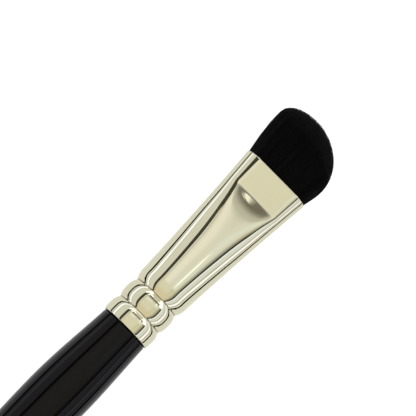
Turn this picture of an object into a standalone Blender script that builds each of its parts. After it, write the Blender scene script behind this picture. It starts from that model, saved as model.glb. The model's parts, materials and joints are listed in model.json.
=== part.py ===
"""Angled blush brush: a turned handle, a crimped and pressed metal ferrule, and a slanted head of hair.

Every piece is laid out along the brush's axis. There x is the distance from the ferrule's mouth,
positive towards the hair tips and negative towards the handle, y runs across the pressed faces and
z stands on them. One empty at the end sets the whole brush on the ground, under its own middle.
"""

import math
import random

import bmesh
import bpy
from mathutils import Matrix

MM = 0.001

# Clearance between neighbouring pieces
GAP = 0.3 * MM

# Ferrule, measured along the brush from the handle to the mouth
FERRULE_LENGTH = 57.0 * MM
WALL = 0.35 * MM
TUBE_DIAMETER = 15.94 * MM
BEAD_SINK = 0.2 * MM
BEAD_POWER = 2.6
GROOVE_DEPTH = 0.8 * MM
END_BEAD_LENGTH = 5.2 * MM
END_BEAD_CREST = 2.0 * MM
END_BEAD_POWER = 3.4
BEAD_LENGTH = 6.3 * MM
SHOULDER_LENGTH = 4.0 * MM
MOUTH_WIDTH = 21.3 * MM
MOUTH_THICKNESS = 9.0 * MM
PRESS_LENGTH = 8.7 * MM
PRESS_WIDTH = 11.6 * MM
FAN_LENGTH = 16.4 * MM
FLATTEN_LENGTH = 25.4 * MM
SOFT_START = 0.1
RAMP_LENGTH = 9.0 * MM
CROWN_RISE = 0.45 * MM
FLARE_STRAIGHTNESS = 0.7
CROWN_FALL_POWER = 1.12
RAMP_SINK_POWER = 4.0

# Handle
HANDLE_LENGTH = 100.0 * MM
JOINT_STEP = 0.34 * MM
BELLY_SWELL = 1.15 * MM
BELLY_DISTANCE = 24.5 * MM
BELLY_POWER = 1.25
TAPER_POWER = 1.5
TAIL_DIAMETER = 6.6 * MM
TAIL_CAP_LENGTH = 3.6 * MM
TENON_LENGTH = 23.0 * MM
TENON_TAPER = 0.9 * MM
TENON_CHAMFER = 0.8 * MM

# Glue between the tenon and the ferrule
GLUE_LENGTH = 8.5 * MM

# Hair roots, their thread and the resin that holds them
ROOT_INSET = 0.6 * MM
ROOT_DEPTH = 18.0 * MM
THREAD_DIAMETER = 0.6 * MM
THREAD_TURNS = 4
THREAD_RIB_SHARE = 0.25
THREAD_SETBACK = 2.6 * MM
RESIN_FLOOR = 3.0 * MM

# Hair outside the ferrule: the slanted outline and its fan
HEEL_LENGTH = 2.05 * MM
TOE_LENGTH = 12.5 * MM
CROWN_LENGTH = 11.95 * MM
CROWN_LEAN = 0.25
CROWN_POWER = 2.0
CROWN_ROUNDNESS = 0.424
SIDE_TRIM = 0.32
SIDE_TRIM_POWER = 2.2
WIDTH_FAN = 0.183
WIDTH_FAN_REACH = 14.5 * MM
THICKNESS_FAN = 0.6
THICKNESS_FAN_REACH = 12.0 * MM
STRAND_SPACING = 0.6 * MM
STRAND_CLEARANCE = 0.02 * MM
STRAND_RADIUS = 0.27 * MM
STRAND_TIP_SHARE = 0.4
STRAND_BEND_SHARE = 0.42

# How finely round shapes are faceted
TURN_STEPS = 36
TAIL_CAP_STEPS = 5
FLAT_STEPS = 3
END_STEPS = 6
SHARP_ANGLE = math.radians(24)

# Places along the axis
JOINT_X = -FERRULE_LENGTH
FIRST_GROOVE_X = JOINT_X + END_BEAD_LENGTH
SECOND_GROOVE_X = FIRST_GROOVE_X + BEAD_LENGTH
FLARE_X = SECOND_GROOVE_X + SHOULDER_LENGTH
PRESS_X = -PRESS_LENGTH
RAMP_X = PRESS_X - RAMP_LENGTH
FAN_X = PRESS_X - FAN_LENGTH
TENON_X = JOINT_X + TENON_LENGTH
TAIL_X = JOINT_X - HANDLE_LENGTH
THREAD_BACK_X = THREAD_SETBACK - ROOT_DEPTH
THREAD_FRONT_X = THREAD_BACK_X + THREAD_TURNS * THREAD_DIAMETER

# Radii that follow from the sizes above
TUBE_RADIUS = TUBE_DIAMETER / 2
BEAD_RADIUS = TUBE_RADIUS - BEAD_SINK
GROOVE_RADIUS = BEAD_RADIUS - GROOVE_DEPTH
TENON_RADIUS = GROOVE_RADIUS - WALL - GAP

# Depth of the tied roots under the ferrule's outer face
TIED_INSET = WALL + 2 * GAP + THREAD_DIAMETER


def ease_out(share):
    """Rise from 0 to 1 that slows to a stop."""
    return 1 - (1 - min(share, 1.0)) ** 2


def arch(distance, half_span, power=BEAD_POWER):
    """1 at the crest of a rounded bead, 0 at its foot."""
    return 1 - abs(distance / half_span) ** power


def half_width(x):
    """Half of the ferrule's width at x."""
    if x < FIRST_GROOVE_X:
        crest = JOINT_X + END_BEAD_CREST
        return GROOVE_RADIUS + GROOVE_DEPTH * arch(x - crest, FIRST_GROOVE_X - crest, END_BEAD_POWER)
    if x < SECOND_GROOVE_X:
        middle = (FIRST_GROOVE_X + SECOND_GROOVE_X) / 2
        return GROOVE_RADIUS + GROOVE_DEPTH * arch(x - middle, BEAD_LENGTH / 2)
    if x < FLARE_X:
        return GROOVE_RADIUS + (TUBE_RADIUS - GROOVE_RADIUS) * arch(FLARE_X - x, SHOULDER_LENGTH)
    share = (x - FLARE_X) / -FLARE_X
    flare = FLARE_STRAIGHTNESS * share + (1 - FLARE_STRAIGHTNESS) * share**2
    return TUBE_RADIUS + (MOUTH_WIDTH / 2 - TUBE_RADIUS) * flare


def press_share(x, length):
    """0 up to this length before the pressed face, 1 on that face."""
    return min(max((x - PRESS_X) / length + 1, 0.0), 1.0)


def eased_share(x, length):
    """The same with a soft start."""
    share = press_share(x, length)
    return share**2 * (1 + SOFT_START) / (share + SOFT_START)


def half_thickness(x):
    """Half of the ferrule's thickness at x: a falling crown that sinks along the ramp."""
    if x < FLARE_X:
        return half_width(x)
    face = MOUTH_THICKNESS / 2
    fall = min((x - FLARE_X) / (PRESS_X - FLARE_X), 1.0) ** CROWN_FALL_POWER
    crown = TUBE_RADIUS + (face + CROWN_RISE - TUBE_RADIUS) * fall
    return crown + (face - crown) * press_share(x, RAMP_LENGTH) ** RAMP_SINK_POWER


def around(quarter):
    """The whole outline of a section from its quarter, given from the top to the side."""
    right = quarter + [(y, -z) for y, z in reversed(quarter[:-1])]
    left = [(-y, z) for y, z in reversed(right[1:-1])]
    return right + left


def height_share(y, width, flat):
    """Height of a section at y, as a share of its half thickness: flat in the middle, round at the sides."""
    bend = min(max(y - flat, 0.0) / (width - flat), 1.0)
    return math.sqrt(1 - bend**2)


def ferrule_section(x, inset=0.0):
    """The ferrule's outline at x, or one this far inside it.

    The oval tube turns into a slab whose flat faces fan out towards the mouth.
    """
    width = half_width(x) - inset
    thickness = half_thickness(x) - inset
    flat = PRESS_WIDTH / 2
    pressed = flat * eased_share(x, FAN_LENGTH)
    flattened = eased_share(x, FLATTEN_LENGTH)
    spread = [flat * step / FLAT_STEPS for step in range(FLAT_STEPS)]
    turns = [math.pi / 2 * step / END_STEPS for step in range(END_STEPS)]
    spread += [flat + (width - flat) * math.sin(turn) for turn in turns]
    quarter = []
    for y in spread:
        oval, slab = (height_share(y, width, middle) for middle in (0.0, pressed))
        quarter.append((y, thickness * (oval + (slab - oval) * flattened)))
    return around(quarter + [(width, 0.0)])


def stations(*stops):
    """Places along the axis, from (start, number of steps) pairs and a last end."""
    places = []
    for (start, steps), after in zip(stops[:-1], stops[1:]):
        end = after[0]
        places += [start + (end - start) * step / steps for step in range(steps)]
    return places + [stops[-1][0]]


def material(name, colour, roughness, metallic=0.0, coat=0.0):
    made = bpy.data.materials.new(name)
    made.use_nodes = True
    shader = made.node_tree.nodes["Principled BSDF"]
    shader.inputs["Base Color"].default_value = (*colour, 1.0)
    shader.inputs["Roughness"].default_value = roughness
    shader.inputs["Metallic"].default_value = metallic
    shader.inputs["Coat Weight"].default_value = coat
    made.diffuse_color = (*colour, 1.0)
    return made


def new_object(name, mesh, finish, collection):
    made = bpy.data.objects.new(name, mesh)
    collection.objects.link(made)
    if finish:
        mesh.materials.append(finish)
    mesh.shade_smooth()
    mesh.set_sharp_from_angle(angle=SHARP_ANGLE)
    return made


def loft(bm, sections, back_cap, front_cap):
    """A skin through sections, each an x and an outline, given from the handle to the hair."""
    rings = [[bm.verts.new((x, y, z)) for y, z in outline] for x, outline in sections]
    for back, front in zip(rings, rings[1:]):
        for side in range(len(back)):
            after = (side + 1) % len(back)
            bm.faces.new((back[side], front[side], front[after], back[after]))
    if back_cap:
        bm.faces.new(rings[0])
    if front_cap:
        bm.faces.new(reversed(rings[-1]))


def loft_mesh(name, sections, capped):
    bm = bmesh.new()
    loft(bm, sections, capped, capped)
    return finished_mesh(name, bm)


def finished_mesh(name, bm):
    mesh = bpy.data.meshes.new(name)
    bm.to_mesh(mesh)
    bm.free()
    return mesh


def turned(name, profile, closed, finish, collection):
    """A turned piece. The profile holds (x, radius) pairs that run from the hair end to the tail."""
    mesh = bpy.data.meshes.new(name)
    points = [(radius, 0.0, x) for x, radius in profile]
    edges = [(i, i + 1) for i in range(len(points) - 1)]
    if closed:
        edges.append((len(points) - 1, 0))
    mesh.from_pydata(points, edges, [])
    made = new_object(name, mesh, finish, collection)
    screw = made.modifiers.new("Turn", "SCREW")
    screw.steps = TURN_STEPS
    screw.render_steps = TURN_STEPS
    screw.use_smooth_shade = True
    screw.use_merge_vertices = True
    screw.merge_threshold = 1e-6
    half_facet = Matrix.Rotation(math.pi / TURN_STEPS, 4, "Z")
    made.matrix_basis = Matrix.Rotation(math.pi / 2, 4, "Y") @ half_facet
    return made


def give_wall(made, thickness):
    """Thicken an open skin inwards."""
    wall = made.modifiers.new("Wall", "SOLIDIFY")
    wall.thickness = thickness
    wall.offset = -1.0
    wall.use_even_offset = True


def cut(made, cutter):
    boolean = made.modifiers.new("Cut", "BOOLEAN")
    boolean.operation = "DIFFERENCE"
    boolean.solver = "EXACT"
    boolean.object = cutter


def tenon_radius(x):
    """The tenon is straight under the crimps and tapers past them."""
    share = (x - SECOND_GROOVE_X) / (TENON_X - SECOND_GROOVE_X)
    return TENON_RADIUS - TENON_TAPER * max(share, 0.0)


def handle_radius(distance):
    """The handle's radius this far behind the ferrule."""
    joint = half_width(JOINT_X) - JOINT_STEP
    belly = joint + BELLY_SWELL
    if distance < BELLY_DISTANCE:
        return joint + BELLY_SWELL * math.sin(math.pi / 2 * (distance / BELLY_DISTANCE) ** BELLY_POWER)
    share = (distance - BELLY_DISTANCE) / (HANDLE_LENGTH - TAIL_CAP_LENGTH - BELLY_DISTANCE)
    return belly + (TAIL_DIAMETER / 2 - belly) * share**TAPER_POWER


def root_sections():
    """The packed roots from their butt end to just inside the mouth, drawn in under the thread."""
    places = (
        (-ROOT_DEPTH, TIED_INSET),
        (THREAD_BACK_X, TIED_INSET),
        (THREAD_FRONT_X, TIED_INSET),
        (PRESS_X + GAP, WALL + GAP),
        (-ROOT_INSET, WALL + GAP),
    )
    return [(x, ferrule_section(x, inset)) for x, inset in places]


def hair_length(across, through):
    """Length of a hair past the mouth. across is -1 on the heel side and 1 on the toe side."""
    leaning = abs(across + CROWN_LEAN * (1 - across**2))
    crown = CROWN_LENGTH * max(1 - leaning**CROWN_POWER, 0.0) ** CROWN_ROUNDNESS
    outline = HEEL_LENGTH + (TOE_LENGTH - HEEL_LENGTH) * (1 + across) / 2 + crown
    return outline * (1 - SIDE_TRIM * abs(through) ** SIDE_TRIM_POWER)


def fanned(y, z, x):
    """Where a hair rooted at (y, z) passes x."""
    reach = max(x, 0.0)
    wide = 1 + WIDTH_FAN * ease_out(reach / WIDTH_FAN_REACH)
    thick = 1 + THICKNESS_FAN * ease_out(reach / THICKNESS_FAN_REACH)
    return y * wide, z * thick


def strand_roots():
    """Root places on a staggered lattice inside the mouth, with their shares of its half sizes."""
    thickness = MOUTH_THICKNESS / 2 - WALL - GAP
    width = half_width(-ROOT_INSET) - WALL - GAP
    margin = STRAND_RADIUS + STRAND_CLEARANCE
    row_height = STRAND_SPACING * math.sqrt(0.75)
    rows = int(thickness / row_height) + 1
    columns = int(width / STRAND_SPACING) + 1
    roots = []
    for row in range(-rows, rows + 1):
        for column in range(-columns, columns + 1):
            y = (column + 0.5 * (row % 2)) * STRAND_SPACING
            z = row * row_height
            if abs(z) < (thickness - margin) * height_share(abs(y), width - margin, PRESS_WIDTH / 2):
                roots.append((y, z, y / width, z / thickness))
    return roots


def add_strand(bm, y, z, length, angle):
    """A three-sided tapering hair, bent once, that is open where it leaves the roots."""
    foot = bmesh.ops.create_circle(
        bm,
        cap_ends=True,
        segments=3,
        radius=STRAND_RADIUS,
        matrix=Matrix.Rotation(angle, 4, "Z"),
    )["verts"]
    levels = [(foot, -ROOT_INSET, 1.0)]
    end = foot[0].link_faces[0]
    for x, share in ((STRAND_BEND_SHARE * length, 1.0), (length, STRAND_TIP_SHARE)):
        end = bmesh.ops.extrude_discrete_faces(bm, faces=[end])["faces"][0]
        levels.append((end.verts, x, share))
    for verts, x, share in levels:
        for vert in verts:
            vert.co = (x, *fanned(y + share * vert.co.x, z + share * vert.co.y, x))


def hair_mesh():
    """Hairs that grow out of the front of the packed roots, as one closed body."""
    turn = random.Random(7)
    bm = bmesh.new()
    loft(bm, root_sections(), True, False)
    for y, z, across, through in strand_roots():
        add_strand(bm, y, z, hair_length(across, through), turn.uniform(0, 2 * math.pi))
    open_edges = [edge for edge in bm.edges if edge.is_boundary]
    bmesh.ops.triangle_fill(bm, use_beauty=True, edges=open_edges, normal=(1.0, 0.0, 0.0))
    bmesh.ops.recalc_face_normals(bm, faces=bm.faces)
    return finished_mesh("hair_tuft", bm)


def make_ferrule(parts):
    finish = material("nickel_plated_brass", (0.78, 0.75, 0.64), 0.12, metallic=1.0)
    places = stations(
        (JOINT_X, 6),
        (FIRST_GROOVE_X, 7),
        (SECOND_GROOVE_X, 5),
        (FLARE_X, 4),
        (FAN_X, 4),
        (RAMP_X, 6),
        (PRESS_X, 2),
        (0.0, 0),
    )
    sections = [(x, ferrule_section(x)) for x in places]
    ferrule = new_object("ferrule", loft_mesh("ferrule", sections, False), finish, parts)
    give_wall(ferrule, WALL)
    return ferrule


def make_handle(parts):
    finish = material("black_lacquered_wood", (0.012, 0.011, 0.012), 0.15, coat=1.0)
    shoulder = JOINT_X - GAP
    profile = [(TENON_X, 0.0), (TENON_X, tenon_radius(TENON_X) - TENON_CHAMFER)]
    profile.append((TENON_X - TENON_CHAMFER, tenon_radius(TENON_X - TENON_CHAMFER)))
    profile.append((SECOND_GROOVE_X, TENON_RADIUS))
    profile.append((shoulder, TENON_RADIUS))
    reach = HANDLE_LENGTH - TAIL_CAP_LENGTH
    distances = stations((GAP, 7), (BELLY_DISTANCE, 9), (reach, 0))
    profile += [(JOINT_X - distance, handle_radius(distance)) for distance in distances]
    for step in range(1, TAIL_CAP_STEPS):
        angle = math.pi / 2 * step / TAIL_CAP_STEPS
        radius = TAIL_DIAMETER / 2 * math.cos(angle)
        profile.append((JOINT_X - reach - TAIL_CAP_LENGTH * math.sin(angle), radius))
    profile.append((TAIL_X, 0.0))
    return turned("handle", profile, False, finish, parts)


def make_handle_glue(parts):
    finish = material("cured_handle_glue", (0.72, 0.62, 0.42), 0.5)
    front = TENON_X - TENON_CHAMFER
    places = stations((front, 3), (front - GLUE_LENGTH, 0))
    outer = [(x, min(half_width(x), half_thickness(x)) - WALL - GAP) for x in places]
    inner = [(x, tenon_radius(x) + GAP) for x in reversed(places)]
    return turned("handle_glue", outer + inner, True, finish, parts)


def make_hair(parts):
    finish = material("black_hair", (0.008, 0.008, 0.009), 0.6)
    return new_object("hair_tuft", hair_mesh(), finish, parts)


def make_thread(parts):
    """The thread's turns, side by side, drawn as one ribbed sleeve."""
    finish = material("waxed_cotton_thread", (0.7, 0.66, 0.55), 0.8)
    rib = THREAD_RIB_SHARE * THREAD_DIAMETER
    sections = []
    for half_turn in range(2 * THREAD_TURNS + 1):
        x = THREAD_BACK_X + half_turn * THREAD_DIAMETER / 2
        valley = rib * (half_turn % 2 == 0)
        sections.append((x, ferrule_section(x, WALL + GAP + valley)))
    thread = new_object("binding_thread", loft_mesh("binding_thread", sections, False), finish, parts)
    give_wall(thread, THREAD_DIAMETER - rib)
    return thread


def make_resin(parts, helpers):
    finish = material("cured_epoxy", (0.62, 0.45, 0.2), 0.3)
    back = -ROOT_DEPTH - GAP - RESIN_FLOOR
    rim = THREAD_BACK_X - GAP
    places = stations((back, 3), (rim, 0))
    sections = [(x, ferrule_section(x, WALL + GAP)) for x in places]
    resin = new_object("root_resin", loft_mesh("root_resin", sections, True), finish, parts)
    pocket_ends = (-ROOT_DEPTH - GAP, rim + 2 * GAP)
    pocket = [(x, ferrule_section(x, TIED_INSET - GAP)) for x in pocket_ends]
    cutter = new_object("root_pocket_cutter", loft_mesh("root_pocket_cutter", pocket, True), None, helpers)
    cut(resin, cutter)
    return resin


def clear_scene():
    for thing in list(bpy.data.objects):
        bpy.data.objects.remove(thing, do_unlink=True)


def new_collection(name):
    made = bpy.data.collections.new(name)
    bpy.context.scene.collection.children.link(made)
    return made


def main():
    clear_scene()
    parts = new_collection("angled_blush_brush")
    helpers = new_collection("cutters_and_guides")
    pieces = [
        make_handle(parts),
        make_handle_glue(parts),
        make_ferrule(parts),
        make_resin(parts, helpers),
        make_thread(parts),
        make_hair(parts),
    ]
    tip = max(hair_length(across, through) for _, _, across, through in strand_roots())
    stand = bpy.data.objects.new("brush_axis", None)
    parts.objects.link(stand)
    stand.location = (-(tip + TAIL_X) / 2, 0.0, handle_radius(BELLY_DISTANCE))
    for piece in pieces + list(helpers.objects):
        piece.parent = stand
    for helper in helpers.objects:
        helper.hide_render = True
        helper.display_type = "WIRE"


main()
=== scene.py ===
"""Angled blush brush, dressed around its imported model.

The file is laid out as an add-on: one operator makes each piece or group of like pieces, one makes
the studio, and the panel lists them. x runs along the brush towards the hair tips, y across its
pressed faces and z up. Distances along the brush are taken from the ferrule's mouth.
"""

import json
import math

import bpy
import numpy as np
from bpy.props import FloatProperty, FloatVectorProperty, IntProperty, PointerProperty
from mathutils import Matrix, Vector, noise

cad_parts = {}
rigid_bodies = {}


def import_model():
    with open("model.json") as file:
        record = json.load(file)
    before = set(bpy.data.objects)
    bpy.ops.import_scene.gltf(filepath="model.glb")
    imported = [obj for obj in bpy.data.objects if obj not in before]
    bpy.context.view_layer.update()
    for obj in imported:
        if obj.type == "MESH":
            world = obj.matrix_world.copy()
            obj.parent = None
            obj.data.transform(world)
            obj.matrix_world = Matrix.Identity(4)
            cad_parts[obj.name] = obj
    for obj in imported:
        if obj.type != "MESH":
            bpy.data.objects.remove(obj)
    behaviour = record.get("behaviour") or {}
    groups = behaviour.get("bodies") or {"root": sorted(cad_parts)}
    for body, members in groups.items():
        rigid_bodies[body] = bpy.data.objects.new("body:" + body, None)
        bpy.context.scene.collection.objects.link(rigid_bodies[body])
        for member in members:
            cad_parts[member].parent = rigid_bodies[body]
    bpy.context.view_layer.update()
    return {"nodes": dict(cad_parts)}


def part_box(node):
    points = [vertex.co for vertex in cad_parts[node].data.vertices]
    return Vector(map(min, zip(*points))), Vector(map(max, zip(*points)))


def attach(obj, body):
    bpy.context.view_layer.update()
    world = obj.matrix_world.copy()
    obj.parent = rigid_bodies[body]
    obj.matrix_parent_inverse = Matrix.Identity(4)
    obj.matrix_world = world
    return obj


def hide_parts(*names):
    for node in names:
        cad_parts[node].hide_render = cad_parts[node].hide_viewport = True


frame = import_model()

bl_info = {
    "name": "Angled Blush Brush",
    "version": (1, 0, 0),
    "blender": (4, 5, 0),
    "location": "3D View > Sidebar > Blush Brush",
    "description": "Makes the looks of an angled blush brush: ferrule, handle, hair and studio",
    "category": "Object",
}

MM = 0.001

# Points closer than this count as one
TOUCHING = 1e-6

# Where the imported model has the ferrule
FERRULE_LOW, FERRULE_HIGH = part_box("ferrule")
MOUTH_X = FERRULE_HIGH.x
AXIS_Z = (FERRULE_LOW.z + FERRULE_HIGH.z) / 2

# The ferrule's tube, its two crimps and the beads between them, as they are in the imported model
FERRULE_LENGTH = 57.0 * MM
TUBE_RADIUS = 7.97 * MM
BEAD_RADIUS = 7.77 * MM
BEAD_POWER = 2.6
GROOVE_DEPTH = 0.8 * MM
END_BEAD_LENGTH = 5.2 * MM
END_BEAD_CREST = 2.0 * MM
END_BEAD_POWER = 3.4
BEAD_LENGTH = 6.3 * MM
SHOULDER_LENGTH = 4.0 * MM
WALL = 0.35 * MM

# Its pressed mouth: the flat face, the ramp before it, and the lengths over which the flat fans out
# and the oval tube turns into a slab
MOUTH_HALF_WIDTH = 10.65 * MM
MOUTH_HALF_THICKNESS = 4.5 * MM
PRESS_LENGTH = 8.7 * MM
PRESS_HALF_WIDTH = 5.8 * MM
FAN_LENGTH = 16.4 * MM
FLATTEN_LENGTH = 25.4 * MM
SOFT_START = 0.1
RAMP_LENGTH = 9.0 * MM
RAMP_SINK_POWER = 4.0
CROWN_RISE = 0.45 * MM
CROWN_FALL_POWER = 1.12
FLARE_STRAIGHTNESS = 0.7

# Gap between pieces that are glued to each other
GAP = 0.3 * MM

# The handle's sizes
HANDLE_LENGTH = 100.0 * MM
JOINT_STEP = 0.34 * MM
SHOULDER_ROUND = 0.15 * MM
BELLY_SWELL = 1.15 * MM
BELLY_DISTANCE = 24.5 * MM
BELLY_POWER = 1.25
TAPER_POWER = 1.5
TAIL_RADIUS = 3.3 * MM
TAIL_CAP_LENGTH = 3.6 * MM
TAIL_CAP_DISTANCE = HANDLE_LENGTH - TAIL_CAP_LENGTH
TENON_LENGTH = 23.0 * MM
TENON_TAPER = 0.9 * MM
TENON_CHAMFER = 0.8 * MM

# The hair's slanted outline and its fan
ROOT_INSET = 0.6 * MM
HEEL_LENGTH = 2.05 * MM
TOE_LENGTH = 12.5 * MM
CROWN_LENGTH = 11.95 * MM
CROWN_LEAN = 0.25
CROWN_POWER = 2.0
CROWN_ROUNDNESS = 0.424
SIDE_TRIM = 0.32
SIDE_TRIM_POWER = 2.2
WIDTH_FAN = 0.183
WIDTH_FAN_REACH = 14.5 * MM
THICKNESS_FAN = 0.6
THICKNESS_FAN_REACH = 12.0 * MM

# The inner mass: how deep it starts, how far inside the outline it stays, what share of its rings
# lies in the ferrule, and how far it reaches as a share of the hairs' length
ROOT_DEPTH = 18.0 * MM
CORE_INSET = 1.6 * MM
CORE_RINGS = 24
CORE_ROOT_SHARE = 1 / 3
CORE_REACH = 0.8
CORE_ROUNDNESS = 3

# How the hairs lie: in the rows of an even lattice, each root off its place by a share of the
# spacing. The tips sway with their lock and on their own, across the brush and up. A lock is about
# 1 mm wide
LATTICE_ROW = math.sqrt(0.75)
ROOT_JITTER = 0.22
LENGTH_MEAN, LENGTH_SPREAD = -0.4, 1.0
LOCKS_PER_METRE = 900
LOCK_PATTERN = 3.0
SWAY_LENGTH = 20 * MM
SWAY_POWER = 1.5
LOCK_SWAY = (0.14 * MM, 0.3 * MM)
OWN_SWAY = (0.05 * MM, 0.1 * MM)
TIP_THINNING = 0.45
LAYER_EDGES = (-1 / 3, 1 / 3)

# Places along the brush, from the mouth, and the radii at the crimps
JOINT_X = -FERRULE_LENGTH
FIRST_GROOVE_X = JOINT_X + END_BEAD_LENGTH
SECOND_GROOVE_X = FIRST_GROOVE_X + BEAD_LENGTH
FLARE_X = SECOND_GROOVE_X + SHOULDER_LENGTH
PRESS_X = -PRESS_LENGTH
RAMP_X = PRESS_X - RAMP_LENGTH
TENON_X = JOINT_X + TENON_LENGTH
GROOVE_RADIUS = BEAD_RADIUS - GROOVE_DEPTH
TENON_RADIUS = GROOVE_RADIUS - WALL - GAP

# Points round the ferrule: a quarter has the flat's steps and then the rounded end's
FLAT_STEPS = 13
END_STEPS = 22
AROUND = 4 * (FLAT_STEPS + END_STEPS)

# Rings along it as (start, number of steps), closer about the press's crease. The tube is divided
# twice, into as many rings as all the steps together
CREASE_REACH = 0.8 * MM
RING_STOPS = (
    (JOINT_X, 30),
    (FIRST_GROOVE_X, 38),
    (SECOND_GROOVE_X, 28),
    (FLARE_X, 50),
    (RAMP_X, 54),
    (PRESS_X - CREASE_REACH, 32),
    (PRESS_X + CREASE_REACH, 20),
    (0.0, 0),
)
FIRST_CUTS, SECOND_CUTS = 14, 18

# How far a groove's bottom, the press's crease and the rims are rounded
ROUNDING_STEPS = 6
GROOVE_ROUNDING = 0.15 * MM
CREASE_ROUNDING = 0.6 * MM
RIM_ROUND = 0.16 * MM

# Steps of the handle's profile behind the ferrule as (start, number of steps), the steps of its
# rounded shoulder and tail, and the steps round it
HANDLE_STOPS = ((1.0 * MM, 22), (BELLY_DISTANCE, 40), (TAIL_CAP_DISTANCE, 0))
SHOULDER_STEPS = 5
TAIL_STEPS = 12
TURN_STEPS = 128


def linear(hex_colour):
    """sRGB hex to linear red, green and blue."""
    parts = [int(hex_colour[i : i + 2], 16) / 255 for i in (1, 3, 5)]
    return [c / 12.92 if c <= 0.04045 else ((c + 0.055) / 1.055) ** 2.4 for c in parts]


def colour_prop(name, description, hex_colour):
    """A colour that the user can change."""
    return FloatVectorProperty(
        name=name,
        description=description,
        subtype="COLOR",
        size=3,
        min=0.0,
        max=1.0,
        default=linear(hex_colour),
    )


class BrushSizes(bpy.types.PropertyGroup):
    """Sizes of the brush's fine detail."""

    scratch_spacing: FloatProperty(
        name="Polishing Line Spacing",
        description="Distance between the fine lines that polishing leaves on the plating",
        default=0.12 * MM,
        unit="LENGTH",
    )
    hair_diameter: FloatProperty(
        name="Hair Diameter",
        description="Thickness of one hair at its root",
        default=0.1 * MM,
        unit="LENGTH",
    )
    hair_spacing: FloatProperty(
        name="Hair Spacing",
        description="Distance between the roots of neighbouring hairs",
        default=0.108 * MM,
        unit="LENGTH",
    )
    hair_unevenness: FloatProperty(
        name="Hair Unevenness",
        description="How much neighbouring hairs differ in length",
        default=0.12 * MM,
        unit="LENGTH",
    )
    hair_seed: IntProperty(
        name="Hair Seed",
        description="Which of the possible arrangements the hairs take",
        default=5,
        min=1,
    )


class BrushColours(bpy.types.PropertyGroup):
    """Colours of the brush's finishes."""

    nickel: colour_prop("Nickel", "Reflected colour of the warm nickel plating", "#C7C4AC")
    lacquer: colour_prop("Lacquer", "Body colour of the black lacquer", "#060506")
    hair: colour_prop("Hair", "Colour of the dyed hair", "#060607")
    glue: colour_prop("Glue", "Colour of the cured handle glue", "#DCCFAE")
    resin: colour_prop("Resin", "Colour of the epoxy that holds the roots", "#CDB27C")
    thread: colour_prop("Thread", "Colour of the waxed binding thread", "#D9D4C4")
    floor: colour_prop("Floor", "Colour of the studio floor", "#FBFBF9")


# Shapes


def ease_out(share):
    """Rise from 0 to 1 that slows to a stop."""
    return 1 - (1 - np.minimum(share, 1.0)) ** 2


def arch(distance, half_span, power=BEAD_POWER):
    """1 at the crest of a rounded bead, 0 at its foot."""
    return 1 - abs(distance / half_span) ** power


def half_width(x):
    """Half of the ferrule's width at x."""
    if x < FIRST_GROOVE_X:
        crest = JOINT_X + END_BEAD_CREST
        rise = arch(x - crest, FIRST_GROOVE_X - crest, END_BEAD_POWER)
        return GROOVE_RADIUS + GROOVE_DEPTH * rise
    if x < SECOND_GROOVE_X:
        middle = (FIRST_GROOVE_X + SECOND_GROOVE_X) / 2
        return GROOVE_RADIUS + GROOVE_DEPTH * arch(x - middle, BEAD_LENGTH / 2)
    if x < FLARE_X:
        rise = arch(FLARE_X - x, SHOULDER_LENGTH)
        return GROOVE_RADIUS + (TUBE_RADIUS - GROOVE_RADIUS) * rise
    share = (x - FLARE_X) / -FLARE_X
    flare = FLARE_STRAIGHTNESS * share + (1 - FLARE_STRAIGHTNESS) * share**2
    return TUBE_RADIUS + (MOUTH_HALF_WIDTH - TUBE_RADIUS) * flare


def rounded(value_at, x):
    """A profile's mean over a short stretch, which rounds the grooves and the press's crease."""
    if FLARE_X + GROOVE_ROUNDING < x < RAMP_X:
        return value_at(x)
    reach = GROOVE_ROUNDING if x < RAMP_X else CREASE_ROUNDING
    steps = range(-ROUNDING_STEPS, ROUNDING_STEPS + 1)
    weights = [ROUNDING_STEPS + 1 - abs(step) for step in steps]
    places = [min(max(x + reach * step / ROUNDING_STEPS, JOINT_X), 0.0) for step in steps]
    return sum(w * value_at(place) for w, place in zip(weights, places)) / sum(weights)


def press_share(x, length):
    """0 up to this length before the pressed face, 1 on that face."""
    return min(max((x - PRESS_X) / length + 1, 0.0), 1.0)


def eased_share(x, length):
    """The same with a soft start."""
    share = press_share(x, length)
    return share**2 * (1 + SOFT_START) / (share + SOFT_START)


def half_thickness(x):
    """Half of the ferrule's thickness at x: a falling crown that sinks along the ramp."""
    if x < FLARE_X:
        return half_width(x)
    face = MOUTH_HALF_THICKNESS
    fall = min((x - FLARE_X) / (PRESS_X - FLARE_X), 1.0) ** CROWN_FALL_POWER
    crown = TUBE_RADIUS + (face + CROWN_RISE - TUBE_RADIUS) * fall
    return crown + (face - crown) * press_share(x, RAMP_LENGTH) ** RAMP_SINK_POWER


def height_share(y, width, flat):
    """A section's height at y, as a share of its half thickness: flat, then round at the sides."""
    bend = np.clip((y - flat) / (width - flat), 0.0, 1.0)
    return np.sqrt(1 - bend**2)


def ferrule_section(x, inset=0.0):
    """The ferrule's outline at x, from the top round by the +Y side, as a list of (y, z).

    The oval tube turns into a slab whose flat faces fan out towards the mouth.
    """
    width = rounded(half_width, x) - inset
    thickness = rounded(half_thickness, x) - inset
    flat = PRESS_HALF_WIDTH
    pressed = flat * rounded(lambda place: eased_share(place, FAN_LENGTH), x)
    flattened = rounded(lambda place: eased_share(place, FLATTEN_LENGTH), x)
    spread = [flat * step / FLAT_STEPS for step in range(FLAT_STEPS)]
    turns = [math.pi / 2 * step / END_STEPS for step in range(END_STEPS)]
    spread += [flat + (width - flat) * math.sin(turn) for turn in turns]
    quarter = []
    for y in spread:
        oval, slab = (height_share(y, width, middle) for middle in (0.0, pressed))
        quarter.append((y, thickness * (oval + (slab - oval) * flattened)))
    quarter.append((width, 0.0))
    right = quarter + [(y, -z) for y, z in reversed(quarter[:-1])]
    return right + [(-y, z) for y, z in reversed(right[1:-1])]


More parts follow.
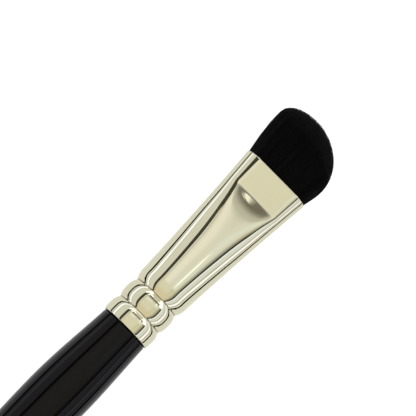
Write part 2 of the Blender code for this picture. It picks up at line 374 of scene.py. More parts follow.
def stations(stops):
    """Places along the brush, from (start, number of steps) pairs and a last end."""
    places = []
    for (start, steps), after in zip(stops[:-1], stops[1:]):
        places += [start + (after[0] - start) * step / steps for step in range(steps)]
    return places + [stops[-1][0]]


def handle_radius(distance):
    """The handle's radius this far behind the ferrule."""
    joint = half_width(JOINT_X) - JOINT_STEP
    belly = joint + BELLY_SWELL
    if distance < BELLY_DISTANCE:
        share = (distance / BELLY_DISTANCE) ** BELLY_POWER
        return joint + BELLY_SWELL * math.sin(math.pi / 2 * share)
    share = (distance - BELLY_DISTANCE) / (TAIL_CAP_DISTANCE - BELLY_DISTANCE)
    return belly + (TAIL_RADIUS - belly) * share**TAPER_POWER


def tenon_radius(x):
    """The tenon's radius at x: even under the crimps, and then a slight taper."""
    share = (x - SECOND_GROOVE_X) / (TENON_X - SECOND_GROOVE_X)
    return TENON_RADIUS - TENON_TAPER * max(share, 0.0)


def hair_length(across, through):
    """Length of a hair past the mouth. across is -1 on the heel side and 1 on the toe side."""
    leaning = np.abs(across + CROWN_LEAN * (1 - across**2))
    crown = CROWN_LENGTH * np.maximum(1 - leaning**CROWN_POWER, 0.0) ** CROWN_ROUNDNESS
    outline = HEEL_LENGTH + (TOE_LENGTH - HEEL_LENGTH) * (1 + across) / 2 + crown
    return outline * (1 - SIDE_TRIM * np.abs(through) ** SIDE_TRIM_POWER)


def fanned(y, z, x):
    """Where a hair rooted at (y, z) passes x."""
    reach = np.maximum(x, 0.0)
    wide = 1 + WIDTH_FAN * ease_out(reach / WIDTH_FAN_REACH)
    thick = 1 + THICKNESS_FAN * ease_out(reach / THICKNESS_FAN_REACH)
    return y * wide, z * thick


# Ways of working


def deselect_all():
    for thing in bpy.context.view_layer.objects:
        thing.select_set(False)


def edit(piece, select_by="VERT"):
    """Open a piece in edit mode with nothing selected."""
    deselect_all()
    piece.select_set(True)
    bpy.context.view_layer.objects.active = piece
    bpy.ops.object.mode_set(mode="EDIT")
    bpy.ops.mesh.select_mode(type=select_by)
    bpy.ops.mesh.select_all(action="DESELECT")


def done():
    bpy.ops.object.mode_set(mode="OBJECT")


def new_primitive(name, add, **settings):
    """Add a primitive with its place and turn in its mesh, and return it."""
    deselect_all()
    add(**settings)
    made = bpy.context.object
    made.name = made.data.name = name
    bpy.ops.object.transform_apply(location=True, rotation=True, scale=True)
    return made


def new_bar(name, length, middle, ends):
    """Add a round bar or tube along x, with the ferrule's number of points round it."""
    return new_primitive(
        name,
        bpy.ops.mesh.primitive_cylinder_add,
        vertices=AROUND,
        radius=TUBE_RADIUS,
        depth=length,
        end_fill_type=ends,
        location=(middle, 0.0, AXIS_Z),
        rotation=(0.0, math.pi / 2, 0.0),
    )


def divide_lengthwise(piece, *parts):
    """Divide each edge that runs along the brush into this many parts, once for each number."""
    edit(piece, "EDGE")
    for count in parts:
        bpy.ops.mesh.select_all(action="DESELECT")
        done()
        verts = piece.data.vertices
        for edge in piece.data.edges:
            first, second = (verts[i].co for i in edge.vertices)
            edge.select = abs(first.x - second.x) > TOUCHING
        bpy.ops.object.mode_set(mode="EDIT")
        bpy.ops.mesh.subdivide(number_cuts=count - 1)
    done()


def section_index(point):
    """Which point of its section this is, counted as ferrule_section does."""
    turn = math.atan2(point.y, point.z - AXIS_Z)
    return round(turn / (2 * math.pi) * AROUND) % AROUND


def apply_modifier(piece, name, kind, **settings):
    """Add a modifier with its settings, and make its result the piece's mesh."""
    made = piece.modifiers.new(name, kind)
    for setting, value in settings.items():
        setattr(made, setting, value)
    bpy.context.view_layer.objects.active = piece
    bpy.ops.object.modifier_apply(modifier=made.name)


def finish_piece(piece, material, slot, *nodes):
    """Give a piece its material, smooth its shading, hide the imported nodes it stands in for, and
    hang it on the root body.
    """
    piece.data.materials.clear()
    piece.data.materials.append(material)
    piece.data.shade_smooth()
    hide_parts(*nodes)
    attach(piece, "root")


# Sockets of a Mix node that mixes colours
MIX_SHARE, MIX_FIRST, MIX_SECOND, MIX_RESULT = 0, 6, 7, 2


def add_node(tree, kind, sockets=None, **settings):
    """Add one node with its settings, and give its sockets values or links."""
    made = tree.nodes.new("ShaderNode" + kind)
    for setting, value in settings.items():
        setattr(made, setting, value)
    for socket, value in (sockets or {}).items():
        if isinstance(value, bpy.types.NodeSocket):
            tree.links.new(value, made.inputs[socket])
        else:
            made.inputs[socket].default_value = value
    return made


def fade(tree, value, edges):
    """1 between the two inner edges, falling smoothly to 0 at the outer ones."""
    rise = add_node(
        tree,
        "MapRange",
        {"Value": value, "From Min": edges[0], "From Max": edges[1]},
        interpolation_type="SMOOTHSTEP",
    )
    fall = add_node(
        tree,
        "MapRange",
        {"Value": value, "From Min": edges[2], "From Max": edges[3], "To Min": 1.0, "To Max": 0.0},
        interpolation_type="SMOOTHSTEP",
    )
    both = add_node(tree, "Math", {0: rise.outputs[0], 1: fall.outputs[0]}, operation="MULTIPLY")
    return both.outputs[0]


def new_material(name, **shader_values):
    """A material with a Principled shader, its values set on the shader's own sockets."""
    made = bpy.data.materials.new(name)
    made.use_nodes = True
    shader = made.node_tree.nodes["Principled BSDF"]
    for socket, value in shader_values.items():
        shader.inputs[socket.replace("_", " ")].default_value = value
    return made, made.node_tree, shader


def opaque(colour):
    return (*colour, 1.0)


# Finishes. Each pattern's scale is how often it repeats in a metre along, across and up

# Painted shade: the plating is drawn darker along the bottom of each crimp, where the groove lies
# in shade, fading out over this reach
CRIMP_SHADE_COLOUR = "#8B8166"
CRIMP_SHADE_CORE = 0.06 * MM
CRIMP_SHADE_REACH = 0.26 * MM

# A polishing line lasts for 8 mm along the ferrule, and the tube's waves are about 4 mm long
POLISHING_REPEATS = 125.0
WAVINESS_SCALE = 260.0

# Grain lines 0.5 mm apart round the handle, drawn out to about 12 mm along it
GRAIN_SCALE = (80.0, 2000.0, 2000.0)

# Locks of hair about 1 mm across took the dye a little differently. Each end of the change is
# (place in the noise, share of the colour)
DYE_SCALE = (60.0, 1100.0, 1100.0)
DYE_RANGE = ((0.35, 0.45), (0.7, 1.5))

# The same for the hidden pieces' mottling
MOTTLING_RANGE = ((0.3, 0.7), (0.7, 1.0))

# Fibres of the thread 0.1 mm apart that run round the bundle
FIBRE_SCALE = (10000.0, 900.0, 900.0)


def crimp_shaded(tree, place, colour):
    """The plating's colour with painted shade: darker along the bottom of each crimp, where the
    groove is shaded.
    """
    along = add_node(tree, "SeparateXYZ", {"Vector": place}).outputs["X"]
    mixed = opaque(colour)
    for groove in (FIRST_GROOVE_X, SECOND_GROOVE_X):
        away = add_node(tree, "Math", {0: along, 1: MOUTH_X + groove}, operation="SUBTRACT")
        edges = (-CRIMP_SHADE_REACH, -CRIMP_SHADE_CORE, CRIMP_SHADE_CORE, CRIMP_SHADE_REACH)
        near = fade(tree, away.outputs[0], edges)
        sockets = {MIX_SHARE: near, MIX_FIRST: mixed, MIX_SECOND: opaque(linear(CRIMP_SHADE_COLOUR))}
        mixed = add_node(tree, "Mix", sockets, data_type="RGBA").outputs[MIX_RESULT]
    return mixed


def nickel_plating(sizes, colours):
    """Warm nickel plated on drawn brass: a mirror with faint polishing lines and slow waviness."""
    made, tree, shader = new_material(
        "bright_warm_nickel_plating",
        Base_Color=opaque(colours.nickel),
        Metallic=1.0,
        Roughness=0.05,
    )
    place = add_node(tree, "TexCoord").outputs["Object"]
    # Its colour holds painted shade along the bottom of each crimp
    tree.links.new(crimp_shaded(tree, place, colours.nickel), shader.inputs["Base Color"])
    across = 1 / sizes.scratch_spacing
    polishing = (POLISHING_REPEATS, across, across)
    lines = add_node(tree, "Mapping", {"Vector": place, "Scale": polishing})
    fine = add_node(tree, "TexNoise", {"Vector": lines.outputs[0], "Scale": 1.0, "Detail": 2.0})
    wave = add_node(tree, "TexNoise", {"Vector": place, "Scale": WAVINESS_SCALE, "Detail": 1.0})
    bump = add_node(
        tree,
        "Bump",
        {"Height": fine.outputs["Fac"], "Strength": 0.05, "Distance": 0.004 * MM},
    )
    slow = add_node(
        tree,
        "Bump",
        {
            "Height": wave.outputs["Fac"],
            "Strength": 0.4,
            "Distance": 0.02 * MM,
            "Normal": bump.outputs["Normal"],
        },
    )
    tree.links.new(slow.outputs["Normal"], shader.inputs["Normal"])
    return made


def black_lacquer(colours):
    """Gloss black lacquer on turned hardwood: deep black, and the wood's grain just shows."""
    made, tree, shader = new_material(
        "gloss_black_lacquer_on_hardwood",
        Base_Color=opaque(colours.lacquer),
        Roughness=0.035,
        IOR=1.22,
    )
    place = add_node(tree, "TexCoord").outputs["Object"]
    grain = add_node(tree, "Mapping", {"Vector": place, "Scale": GRAIN_SCALE})
    lines = add_node(tree, "TexNoise", {"Vector": grain.outputs[0], "Scale": 1.0, "Detail": 3.0})
    bump = add_node(
        tree,
        "Bump",
        {"Height": lines.outputs["Fac"], "Strength": 0.3, "Distance": 0.004 * MM},
    )
    tree.links.new(bump.outputs["Normal"], shader.inputs["Normal"])
    return made


def dyed_hair(colours):
    """Fine black-dyed goat hair: light is lost between the hairs, and a low soft sheen is left."""
    made, tree, shader = new_material(
        "soft_black_dyed_hair",
        Base_Color=opaque(colours.hair),
        Roughness=0.5,
        Specular_IOR_Level=0.09,
    )
    place = add_node(tree, "TexCoord").outputs["Object"]
    locks = add_node(tree, "Mapping", {"Vector": place, "Scale": DYE_SCALE})
    dye = add_node(tree, "TexNoise", {"Vector": locks.outputs[0], "Scale": 1.0, "Detail": 2.0})
    ramp = add_node(tree, "ValToRGB", {"Fac": dye.outputs["Fac"]})
    for element, (position, share) in zip(ramp.color_ramp.elements, DYE_RANGE):
        element.position = position
        element.color = opaque([share * c for c in colours.hair])
    tree.links.new(ramp.outputs["Color"], shader.inputs["Base Color"])
    return made


def mottled(name, colour, roughness, scale, depth, stretch=(1.0, 1.0, 1.0)):
    """A finish for a hidden piece, whose colour and height vary over a noise with this scale."""
    made, tree, shader = new_material(name, Base_Color=opaque(colour), Roughness=roughness)
    place = add_node(tree, "TexCoord").outputs["Object"]
    grid = add_node(tree, "Mapping", {"Vector": place, "Scale": stretch})
    spots = add_node(tree, "TexNoise", {"Vector": grid.outputs[0], "Scale": scale, "Detail": 3.0})
    ramp = add_node(tree, "ValToRGB", {"Fac": spots.outputs["Fac"]})
    for element, (position, share) in zip(ramp.color_ramp.elements, MOTTLING_RANGE):
        element.position = position
        element.color = opaque([share * c for c in colour])
    bump = add_node(tree, "Bump", {"Height": spots.outputs["Fac"], "Distance": depth})
    tree.links.new(ramp.outputs["Color"], shader.inputs["Base Color"])
    tree.links.new(bump.outputs["Normal"], shader.inputs["Normal"])
    return made


# Pieces


class BRUSH_OT_ferrule(bpy.types.Operator):
    """Press the ferrule from a drawn tube: two crimps, a flare and a flat mouth"""

    bl_idname = "brush.ferrule"
    bl_label = "Make Ferrule"

    def execute(self, context):
        piece = new_bar("ferrule_tube", FERRULE_LENGTH, MOUTH_X - FERRULE_LENGTH / 2, "NOTHING")
        divide_lengthwise(piece, FIRST_CUTS, SECOND_CUTS)
        self.press(piece)
        edit(piece)
        bpy.ops.mesh.select_all(action="SELECT")
        bpy.ops.mesh.normals_make_consistent(inside=False)
        done()
        apply_modifier(
            piece,
            "Wall",
            "SOLIDIFY",
            thickness=WALL,
            offset=-1.0,
            use_even_offset=True,
        )
        apply_modifier(
            piece,
            "Rims",
            "BEVEL",
            width=RIM_ROUND,
            segments=3,
            limit_method="ANGLE",
            angle_limit=math.radians(60),
        )
        finish = nickel_plating(context.scene.brush_sizes, context.scene.brush_colours)
        finish_piece(piece, finish, "plated_brass", "ferrule")
        return {"FINISHED"}

    def press(self, piece):
        """Move each ring to its station, and its points to the pressed section there."""
        places = stations(RING_STOPS)
        rings = FIRST_CUTS * SECOND_CUTS
        points = len(piece.data.vertices)
        if len(places) != rings + 1 or points != AROUND * len(places):
            raise RuntimeError(f"the ferrule has {points} points and {len(places)} stations")
        sections = [ferrule_section(place) for place in places]
        for vert in piece.data.vertices:
            ring = round((vert.co.x - MOUTH_X + FERRULE_LENGTH) / FERRULE_LENGTH * rings)
            y, z = sections[ring][section_index(vert.co)]
            vert.co = (MOUTH_X + places[ring], y, AXIS_Z + z)


class BRUSH_OT_handle(bpy.types.Operator):
    """Turn the handle from its profile, with the tenon that the ferrule hides"""

    bl_idname = "brush.handle"
    bl_label = "Make Handle"

    def execute(self, context):
        profile = self.profile()
        start = profile[0]
        piece = new_primitive(
            "turned_handle",
            bpy.ops.mesh.primitive_plane_add,
            size=MM,
            location=(MOUTH_X + start[0], 0.0, AXIS_Z + start[1]),
        )
        edit(piece)
        bpy.ops.mesh.select_all(action="SELECT")
        bpy.ops.mesh.merge(type="CENTER")
        for here, after in zip(profile, profile[1:]):
            step = (after[0] - here[0], 0.0, after[1] - here[1])
            bpy.ops.mesh.extrude_vertices_move(TRANSFORM_OT_translate={"value": step})
        bpy.ops.mesh.select_all(action="SELECT")
        bpy.ops.mesh.spin(
            steps=TURN_STEPS,
            angle=2 * math.pi,
            center=(0.0, 0.0, AXIS_Z),
            axis=(1.0, 0.0, 0.0),
        )
        bpy.ops.mesh.select_all(action="SELECT")
        bpy.ops.mesh.remove_doubles(threshold=TOUCHING)
        bpy.ops.mesh.normals_make_consistent(inside=False)
        done()
        finish = black_lacquer(context.scene.brush_colours)
        finish_piece(piece, finish, "lacquered_wood", "handle")
        return {"FINISHED"}

    def profile(self):
        """(x, radius) pairs from the tenon's end to the tail."""
        shoulder = JOINT_X - GAP
        chamfer = TENON_X - TENON_CHAMFER
        points = [
            (TENON_X, 0.0),
            (TENON_X, tenon_radius(TENON_X) - TENON_CHAMFER),
            (chamfer, tenon_radius(chamfer)),
            (SECOND_GROOVE_X, TENON_RADIUS),
            (shoulder, TENON_RADIUS),
        ]
        for step in range(SHOULDER_STEPS + 1):
            angle = math.pi / 2 * step / SHOULDER_STEPS
            x = shoulder - SHOULDER_ROUND * (1 - math.cos(angle))
            points.append((x, handle_radius(GAP) - SHOULDER_ROUND * (1 - math.sin(angle))))
        for distance in stations(HANDLE_STOPS):
            points.append((JOINT_X - distance, handle_radius(distance)))
        for step in range(1, TAIL_STEPS + 1):
            angle = math.pi / 2 * step / TAIL_STEPS
            radius = TAIL_RADIUS * math.cos(angle) if step < TAIL_STEPS else 0.0
            x = JOINT_X - TAIL_CAP_DISTANCE - TAIL_CAP_LENGTH * math.sin(angle)
            points.append((x, radius))
        return points


class BRUSH_OT_hair(bpy.types.Operator):
    """Plant the hairs in the mouth: an inner mass, and layers of separate fine hairs"""

    bl_idname = "brush.hair"
    bl_label = "Make Hair"

    LAYERS = ("lower", "middle", "upper")
    LEVELS = (0.0, 0.4, 0.75, 0.96, 1.0)
    SIDES = 3

    def execute(self, context):
        sizes = context.scene.brush_sizes
        finish = dyed_hair(context.scene.brush_colours)
        self.make_core(finish)
        draw = np.random.default_rng(sizes.hair_seed)
        roots = self.roots(sizes, draw)
        paths, radii, turns = self.grow(roots, sizes, draw)
        layer_of = np.digitize(roots[:, 3], LAYER_EDGES)
        for index, layer in enumerate(self.LAYERS):
            chosen = layer_of == index
            self.make_layer(layer, paths[chosen], radii, turns[chosen], finish)
        return {"FINISHED"}

    def make_core(self, finish):
        """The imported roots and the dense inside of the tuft, drawn out from a rounded bar."""
        piece = new_bar("hair_inner_mass", ROOT_DEPTH, MOUTH_X, "NGON")
        divide_lengthwise(piece, CORE_RINGS)
        for vert in piece.data.vertices:
            share = (vert.co.x - MOUTH_X + ROOT_DEPTH / 2) / ROOT_DEPTH
            vert.co = self.core_point(share, section_index(vert.co))
        finish_piece(piece, finish, "hair", "hair_tuft")

    def core_point(self, share, index):
        """Where a point of the core goes, from its share of the bar and its place round it."""
        if share <= CORE_ROOT_SHARE:
            x = -ROOT_DEPTH + (ROOT_DEPTH - ROOT_INSET) * share / CORE_ROOT_SHARE
            y, z = ferrule_section(x, CORE_INSET)[index]
            return (MOUTH_X + x, y, AXIS_Z + z)
        out = (share - CORE_ROOT_SHARE) / (1 - CORE_ROOT_SHARE)
        root_y, root_z = ferrule_section(-ROOT_INSET, CORE_INSET)[index]
        slim = math.sqrt(max(1 - out**CORE_ROUNDNESS, 0.0))
        across = root_y * slim / (MOUTH_HALF_WIDTH - WALL)
        through = root_z * slim / (MOUTH_HALF_THICKNESS - WALL)
        x = -ROOT_INSET + out * (CORE_REACH * hair_length(across, through) + ROOT_INSET)
        y, z = fanned(root_y * slim, root_z * slim, x)
        return (MOUTH_X + x, y, AXIS_Z + z)

    def roots(self, sizes, draw):
        """Rows of (y, z, across, through) on a jittered lattice inside the mouth."""
        thickness = MOUTH_HALF_THICKNESS - WALL
        width = half_width(-ROOT_INSET) - WALL
        spacing = sizes.hair_spacing
        row_height = spacing * LATTICE_ROW
        rows = np.arange(-int(thickness / row_height), int(thickness / row_height) + 1)
        columns = np.arange(-int(width / spacing) - 1, int(width / spacing) + 2)
        row, column = np.meshgrid(rows, columns, indexing="ij")
        y = ((column + 0.5 * (row % 2)) * spacing).ravel()
        z = (row * row_height).ravel()
        y = y + draw.normal(0, ROOT_JITTER * spacing, y.shape)
        z = z + draw.normal(0, ROOT_JITTER * spacing, z.shape)
        margin = sizes.hair_diameter / 2
        highest = height_share(np.abs(y), width - margin, PRESS_HALF_WIDTH)
        kept = np.abs(z) < (thickness - margin) * highest
        y, z = y[kept], z[kept]
        return np.column_stack((y, z, y / width, z / thickness))

    def grow(self, roots, sizes, draw):
        """Each hair's points, a row of (x, y, z) for each level, the radii there, and its turn."""
        y, z, across, through = roots.T
        count = len(y)
        length = hair_length(np.clip(across, -1, 1), np.clip(through, -1, 1))
        length = length + draw.normal(LENGTH_MEAN, LENGTH_SPREAD, count) * sizes.hair_unevenness
        # Without a seed the noise starts from the clock, and the locks differ in each run
        noise.seed_set(sizes.hair_seed)
        places = zip(y * LOCKS_PER_METRE, z * LOCKS_PER_METRE)
        lock = np.array([noise.noise_vector(Vector((a, b, LOCK_PATTERN))) for a, b in places])
        own = draw.normal(0, 1, (count, 2))
        levels = np.array(self.LEVELS)
        paths = np.zeros((count, len(levels), 3))
        for index, level in enumerate(levels):
            x = -ROOT_INSET + level * (length + ROOT_INSET)
            sway = (level * length / SWAY_LENGTH) ** SWAY_POWER
            paths[:, index, 0] = x
            for side, straight in enumerate(fanned(y, z, x)):
                bend = LOCK_SWAY[side] * lock[:, side] + OWN_SWAY[side] * own[:, side]
                paths[:, index, side + 1] = straight + sway * bend
        radii = sizes.hair_diameter / 2 * (1 - TIP_THINNING * levels**3)
        return paths, radii, draw.uniform(0, 2 * math.pi, count)

    def make_layer(self, layer, paths, radii, turns, finish):
        """One mesh of three-sided hairs that close in a point."""
        count, rings = paths.shape[0], paths.shape[1] - 1
        angle = turns[:, None] + np.arange(self.SIDES) * 2 * math.pi / self.SIDES
        ring = np.stack((np.zeros_like(angle), np.cos(angle), np.sin(angle)), axis=-1)
        points = paths[:, :rings, None, :] + ring[:, None] * radii[None, :rings, None, None]
        each = rings * self.SIDES + 1
        verts = np.concatenate((points.reshape(count, -1, 3), paths[:, -1:, :]), axis=1)
        verts = verts.reshape(-1, 3) + np.array((MOUTH_X, 0.0, AXIS_Z))
        faces = []
        for level in range(rings):
            for side in range(self.SIDES):
                here = level * self.SIDES + side
                after = level * self.SIDES + (side + 1) % self.SIDES
                if level < rings - 1:
                    faces.append((here, after, after + self.SIDES, here + self.SIDES))
                else:
                    faces.append((here, after, each - 1, -1))
        base = np.arange(count)[:, None, None] * each
        pattern = np.array(faces)[None]
        every = np.where(pattern < 0, -1, pattern + base).reshape(-1, 4).tolist()
        mesh = bpy.data.meshes.new("hair_" + layer + "_layer")
        mesh.from_pydata(verts.tolist(), [], [[i for i in face if i >= 0] for face in every])
        piece = bpy.data.objects.new(mesh.name, mesh)
        bpy.context.scene.collection.objects.link(piece)
        finish_piece(piece, finish, "hair", "hair_tuft")


class BRUSH_OT_inner_pieces(bpy.types.Operator):
    """Give the glue, the resin and the thread inside the ferrule their finishes"""

    bl_idname = "brush.inner_pieces"
    bl_label = "Finish Inner Pieces"

    def execute(self, context):
        colours = context.scene.brush_colours
        # Cured glue is dull and holds small bubbles about 0.4 mm across
        glue = mottled(
            "cured_handle_glue",
            colours.glue,
            roughness=0.45,
            scale=2500.0,
            depth=0.03 * MM,
        )
        # Cured epoxy is glossy, and slightly cloudy in patches of about 2 mm
        resin = mottled(
            "cured_amber_epoxy",
            colours.resin,
            roughness=0.2,
            scale=500.0,
            depth=0.01 * MM,
        )
        # Waxed cotton is matt, and its fibres show as fine ridges
        thread = mottled(
            "waxed_cotton_thread",
            colours.thread,
            roughness=0.7,
            scale=1.0,
            depth=0.05 * MM,
            stretch=FIBRE_SCALE,
        )
        finishes = {"handle_glue": glue, "root_resin": resin, "binding_thread": thread}
        for node, finish in finishes.items():
            mesh = frame["nodes"][node].data
            mesh.materials.clear()
            mesh.materials.append(finish)
        return {"FINISHED"}


# Studio

# The direction of the brush's axis in the picture, what the camera looks at, and where it stands
AXIS_IN_PICTURE = (0.712, 0.702)
CAMERA_TARGET = Vector((50.22, 7.18, 8.42)) * MM
CAMERA_OFFSET = Vector((-74.9, 0.0, 464.7)) * MM

# Half of the picture's width over the camera's distance, both in the photograph's pixels
HALF_VIEW = 208 / 1765
SENSOR_WIDTH = 36.0

# Cards of the light tent: (name, colour, strength, across, along). Each is lit between angles from
# straight up, across towards +Y and along towards +X, as (fades in from, to, fades out from, to),
# in degrees. A later card covers an earlier one
EVERYWHERE = (-200, -190, 190, 200)
BEFORE_FRONT = (-200, -190, 31, 34)
HEEL_SOFTBOX = ("#F8FEFF", 1.3)
CARDS = (
    ("ceiling", "#FFFEFB", 1.18, (-53, -51, 46, 48), EVERYWHERE),
    ("warm ceiling over the handle", "#FFFBEE", 1.17, (-53, -51, 46, 48), (-200, -190, 12, 15)),
    ("warm ceiling, heel side", "#FFFBE4", 1.05, (-50, -38, -24, -12), (-200, -190, 7, 11)),
    ("ceiling softbox, toe side", "#FFFDFA", 1.37, (-6, 14, 19, 31), (7, 14, 60, 90)),
    ("ceiling softbox, heel side", *HEEL_SOFTBOX, (-34, -27, -20, -11), (7, 12, 16, 24)),
    ("warm wall behind the handle", "#FFF3DC", 1.12, (-53, -50, 44, 48), (-60, -44, -34, -6)),
    ("shade beside the heel side flag", "#FBFFF4", 0.25, (-52, -51, -49, -33), BEFORE_FRONT),
    ("thin stand under the ceiling", "#FFFDF2", 0.75, (30.5, 31.5, 32.5, 33.5), BEFORE_FRONT),
    ("front wall in shade", "#FFFDF6", 0.85, (-52, -50, 43, 47), (19.5, 24, 34, 37)),
    ("dark front edge", "#FFFAE8", 0.26, (-40, -34, 43, 47), (24.5, 32.5, 37.6, 38.8)),
    ("black front edge", "#FFFAE8", 0.06, (-38, -32, 26, 34), (34, 34.8, 37.6, 38.4)),
    ("front strip light", "#FFFEFA", 1.3, (-52, -50, 43, 47), (38, 39, 41, 43.5)),
    ("pale front wall", "#FFFBF2", 0.98, (-60, -52, 48, 56), (40.5, 43, 60, 90)),
    ("flag on the toe side", "#F6F8D8", 0.03, (36.4, 37.8, 46.4, 48), BEFORE_FRONT),
    ("grey stand on that flag", "#FFFFE6", 0.27, (41.4, 42.2, 42.6, 43.4), BEFORE_FRONT),
    ("flag on the heel side", "#FFFFE0", 0.02, (-52.4, -51.4, -47.6, -46.2), BEFORE_FRONT),
    ("heel side wall", "#F4F8FF", 1.27, (-71, -69.5, -52.6, -51.8), EVERYWHERE),
    ("heel side strip light", "#EBEFFF", 1.75, (-57.8, -56, -54, -52.4), EVERYWHERE),
    ("heel side stand", "#FFFFF0", 0.62, (-74.4, -72.8, -71, -69.2), EVERYWHERE),
    ("heel side softbox", "#EBEBFF", 2.1, (-85, -83, -76, -74), EVERYWHERE),
    ("low edge behind the heel side", "#FFFFF0", 0.72, (-91, -90, -87.5, -84.8), EVERYWHERE),
    ("toe side stand", "#FFFFF4", 0.95, (70, 71.5, 72.5, 74), EVERYWHERE),
    ("toe side softbox", "#E5E8FF", 2.23, (74.8, 77.5, 83.4, 85.8), EVERYWHERE),
    ("low edge behind the toe side", "#F8FFFA", 0.78, (85.5, 88, 95, 97), EVERYWHERE),
    ("far front softbox", "#FFFFFF", 2.0, EVERYWHERE, (64, 72, 100, 110)),
    ("front lamp, toe side", "#FFFFFF", 2.6, (25, 30, 48, 52), (29, 32, 58, 68)),
    ("low front lamp, toe side", "#FFFFFF", 2.0, (8, 16, 30, 33), (38.5, 41, 47, 52)),
    ("front lamp, heel side", "#FFFFFF", 2.6, (-53, -50, -37, -33), (21, 25, 56, 66)),
    ("low front lamp, heel side", "#FFFFFF", 2.4, (-36, -34, -26, -20), (36, 38, 43, 48)),
    ("small front lamp", "#FFFFFA", 1.7, (-1.2, -0.5, 0.7, 1.1), (32.7, 33, 34.2, 35)),
    ("small front lamp, toe side", "#FFFFFA", 1.7, (0.6, 1, 2, 2.6), (31.9, 32.3, 34.2, 35)),
)
TENT_WALLS = ("#FFFFFC", 1.1)

# Plain white light in place of the tent: a soft fill on matt surfaces, and the backdrop
PLAIN_LIGHTS = (("Is Diffuse Ray", 0.75), ("Is Camera Ray", 1.0))

# The floor's own glow, and as the camera sees it
FLOOR_SIZE = 8.0
FLOOR_GLOW = 0.4
FLOOR_GLOW_SEEN = 0.7

# Black felt strips just over the floor: name, and where they lie across the brush
STRIPS = (
    ("floor_strip_toe_side", 60 * MM, 210 * MM),
    ("floor_strip_heel_side", -124 * MM, -52 * MM),
)
STRIP_LENGTH = 1.6
STRIP_HEIGHT = 0.2 * MM
FELT_BLACK = "#0A0A08"

# A flag hung close over the brush, its corners as (from the mouth, across)
FLAG_HEIGHT = 73 * MM
FLAG_CORNERS = (
    (-2 * MM, 42.5 * MM),
    (17 * MM, 29 * MM),
    (-6 * MM, 57 * MM),
    (17 * MM, 57 * MM),
)
FLAG_GREY = "#4C4C42"

# A soft lamp hung over the brush, with its fades along the brush from the mouth and across it
LAMP_HEIGHT = 116 * MM
LAMP_ALONG = (-20 * MM, -9 * MM, 2 * MM, 9 * MM)
LAMP_ACROSS = (-50 * MM, -44 * MM, -41 * MM, -34 * MM)
LAMP_LIGHT = ("#FFFFFF", 2.0)

# Felt and matt card scatter what little light they return, with no shine
MATT = {"Roughness": 1.0, "Specular_IOR_Level": 0.0}


def card_light(hex_colour, strength):
    return opaque([strength * c for c in linear(hex_colour)])


def lamp_diffuser(along):
    """Woven diffuser cloth before a lamp: it glows, at its edges as the softbox behind it does."""
    made, tree, shader = new_material(
        "lamp_diffuser",
        Base_Color=opaque((0.0, 0.0, 0.0)),
        Emission_Strength=1.0,
        **MATT,
    )
    place = add_node(tree, "TexCoord").outputs["Object"]
    parts = add_node(tree, "SeparateXYZ", {"Vector": place}).outputs
    inside = {0: fade(tree, parts["X"], along), 1: fade(tree, parts["Y"], LAMP_ACROSS)}
    both = add_node(tree, "Math", inside, operation="MULTIPLY").outputs[0]
    edge, middle = card_light(*HEEL_SOFTBOX), card_light(*LAMP_LIGHT)
    sockets = {MIX_SHARE: both, MIX_FIRST: edge, MIX_SECOND: middle}
    glow = add_node(tree, "Mix", sockets, data_type="RGBA").outputs[MIX_RESULT]
    tree.links.new(glow, shader.inputs["Emission Color"])
    return made


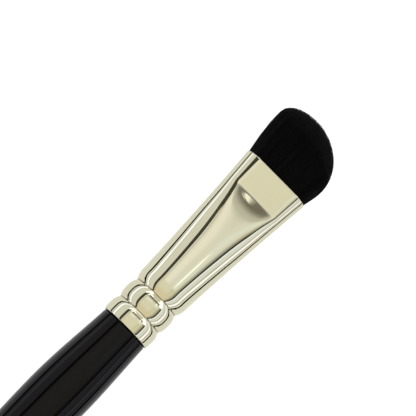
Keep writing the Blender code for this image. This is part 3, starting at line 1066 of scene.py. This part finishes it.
class BRUSH_OT_studio(bpy.types.Operator):
    """Set up the pale floor, the light tent and the camera"""

    bl_idname = "brush.studio"
    bl_label = "Make Studio"

    def execute(self, context):
        self.make_floor(context)
        self.make_near_cards()
        self.make_light(context)
        self.make_camera(context)
        context.scene.view_settings.view_transform = "Standard"
        return {"FINISHED"}

    def make_floor(self, context):
        """A wide sheet of matt white paper, which glows a little so that it stays pale."""
        floor = new_primitive(
            "studio_floor",
            bpy.ops.mesh.primitive_plane_add,
            size=FLOOR_SIZE,
            location=(0.0, 0.0, 0.0),
        )
        finish, tree, shader = new_material(
            "matt_white_paper",
            Base_Color=opaque(context.scene.brush_colours.floor),
            Roughness=0.9,
            Specular_IOR_Level=0.1,
            Emission_Color=opaque((1.0, 1.0, 1.0)),
        )
        seen = add_node(tree, "LightPath").outputs["Is Camera Ray"]
        glow = add_node(
            tree,
            "MapRange",
            {"Value": seen, "To Min": FLOOR_GLOW, "To Max": FLOOR_GLOW_SEEN},
        )
        tree.links.new(glow.outputs[0], shader.inputs["Emission Strength"])
        floor.data.materials.append(finish)

    def place_card(self, name, corners, height, finish):
        """A flat card with these (x, y) corners, seen only in the brush's finish."""
        card = new_primitive(
            name,
            bpy.ops.mesh.primitive_plane_add,
            size=1.0,
            location=(0.0, 0.0, height),
        )
        for vert in card.data.vertices:
            vert.co.x, vert.co.y = corners[(vert.co.x > 0) + 2 * (vert.co.y > 0)]
        card.data.materials.append(finish)
        card.visible_camera = False
        card.visible_diffuse = False
        card.visible_shadow = False

    def make_near_cards(self):
        """The felt strips on the floor, and the flag and the lamp over the brush."""
        felt = new_material("black_felt", Base_Color=opaque(linear(FELT_BLACK)), **MATT)[0]
        card = new_material("dark_grey_card", Base_Color=opaque(linear(FLAG_GREY)), **MATT)[0]
        half = STRIP_LENGTH / 2
        for name, near, far in STRIPS:
            corners = ((-half, near), (half, near), (-half, far), (half, far))
            self.place_card(name, corners, STRIP_HEIGHT, felt)
        corners = [(MOUTH_X + along, across) for along, across in FLAG_CORNERS]
        self.place_card("close_flag", corners, FLAG_HEIGHT, card)
        along = [MOUTH_X + edge for edge in LAMP_ALONG]
        corners = [(x, y) for y in LAMP_ACROSS[::3] for x in along[::3]]
        self.place_card("close_lamp", corners, LAMP_HEIGHT, lamp_diffuser(along))

    def make_light(self, context):
        """The light tent: its cards cover parts of a sphere around the brush."""
        world = bpy.data.worlds.new("light_tent")
        context.scene.world = world
        world.use_nodes = True
        tree = world.node_tree
        tree.nodes.clear()
        direction = add_node(tree, "TexCoord").outputs["Generated"]
        x, y, z = add_node(tree, "SeparateXYZ", {"Vector": direction}).outputs
        upright = add_node(tree, "CombineXYZ", {"Y": y, "Z": z})
        reach = add_node(tree, "VectorMath", {0: upright.outputs[0]}, operation="LENGTH")
        angles = []
        for side, up in ((y, z), (x, reach.outputs["Value"])):
            turn = add_node(tree, "Math", {0: side, 1: up}, operation="ARCTAN2").outputs[0]
            angles.append(add_node(tree, "Math", {0: turn}, operation="DEGREES").outputs[0])
        light = card_light(*TENT_WALLS)
        for name, hex_colour, strength, across, along in CARDS:
            inside = fade(tree, angles[0], across)
            if along is not EVERYWHERE:
                sockets = {0: inside, 1: fade(tree, angles[1], along)}
                inside = add_node(tree, "Math", sockets, operation="MULTIPLY").outputs[0]
            card = card_light(hex_colour, strength)
            sockets = {MIX_SHARE: inside, MIX_FIRST: light, MIX_SECOND: card}
            mixed = add_node(tree, "Mix", sockets, data_type="RGBA", label=name)
            light = mixed.outputs[MIX_RESULT]
        path = add_node(tree, "LightPath").outputs
        for ray, level in PLAIN_LIGHTS:
            plain = opaque([level] * 3)
            sockets = {MIX_SHARE: path[ray], MIX_FIRST: light, MIX_SECOND: plain}
            light = add_node(tree, "Mix", sockets, data_type="RGBA").outputs[MIX_RESULT]
        shine = add_node(tree, "Background", {"Color": light})
        add_node(tree, "OutputWorld", {"Surface": shine.outputs[0]})

    def make_camera(self, context):
        """The camera looks down from a little behind, turned so that the brush lies as it did."""
        camera = bpy.data.objects.new("camera", bpy.data.cameras.new("camera"))
        context.scene.collection.objects.link(camera)
        camera.data.sensor_width = SENSOR_WIDTH
        camera.data.lens = SENSOR_WIDTH / 2 / HALF_VIEW
        back = CAMERA_OFFSET.normalized()
        along = Vector((1.0, 0.0, 0.0))
        along = (along - back * along.dot(back)).normalized()
        across = back.cross(along)
        right = along * AXIS_IN_PICTURE[0] - across * AXIS_IN_PICTURE[1]
        up = along * AXIS_IN_PICTURE[1] + across * AXIS_IN_PICTURE[0]
        turn = Matrix((right.normalized(), up.normalized(), back)).transposed()
        camera.matrix_world = Matrix.Translation(CAMERA_TARGET + CAMERA_OFFSET) @ turn.to_4x4()
        context.scene.camera = camera


class BRUSH_PT_pieces(bpy.types.Panel):
    """The brush's pieces, in the order they are made"""

    bl_idname = "BRUSH_PT_pieces"
    bl_label = "Angled Blush Brush"
    bl_space_type = "VIEW_3D"
    bl_region_type = "UI"
    bl_category = "Blush Brush"

    def draw(self, context):
        column = self.layout.column()
        for operator in OPERATORS:
            column.operator(operator.bl_idname)
        for group in (context.scene.brush_sizes, context.scene.brush_colours):
            for name in group.__annotations__:
                column.prop(group, name)


OPERATORS = (
    BRUSH_OT_ferrule,
    BRUSH_OT_handle,
    BRUSH_OT_hair,
    BRUSH_OT_inner_pieces,
    BRUSH_OT_studio,
)
CLASSES = (BrushSizes, BrushColours, *OPERATORS, BRUSH_PT_pieces)


def register():
    for made in CLASSES:
        bpy.utils.register_class(made)
    bpy.types.Scene.brush_sizes = PointerProperty(type=BrushSizes)
    bpy.types.Scene.brush_colours = PointerProperty(type=BrushColours)


def unregister():
    del bpy.types.Scene.brush_colours
    del bpy.types.Scene.brush_sizes
    for made in reversed(CLASSES):
        bpy.utils.unregister_class(made)


def main():
    register()
    bpy.ops.brush.ferrule()
    bpy.ops.brush.handle()
    bpy.ops.brush.hair()
    bpy.ops.brush.inner_pieces()
    bpy.ops.brush.studio()


if __name__ == "__main__":
    main()
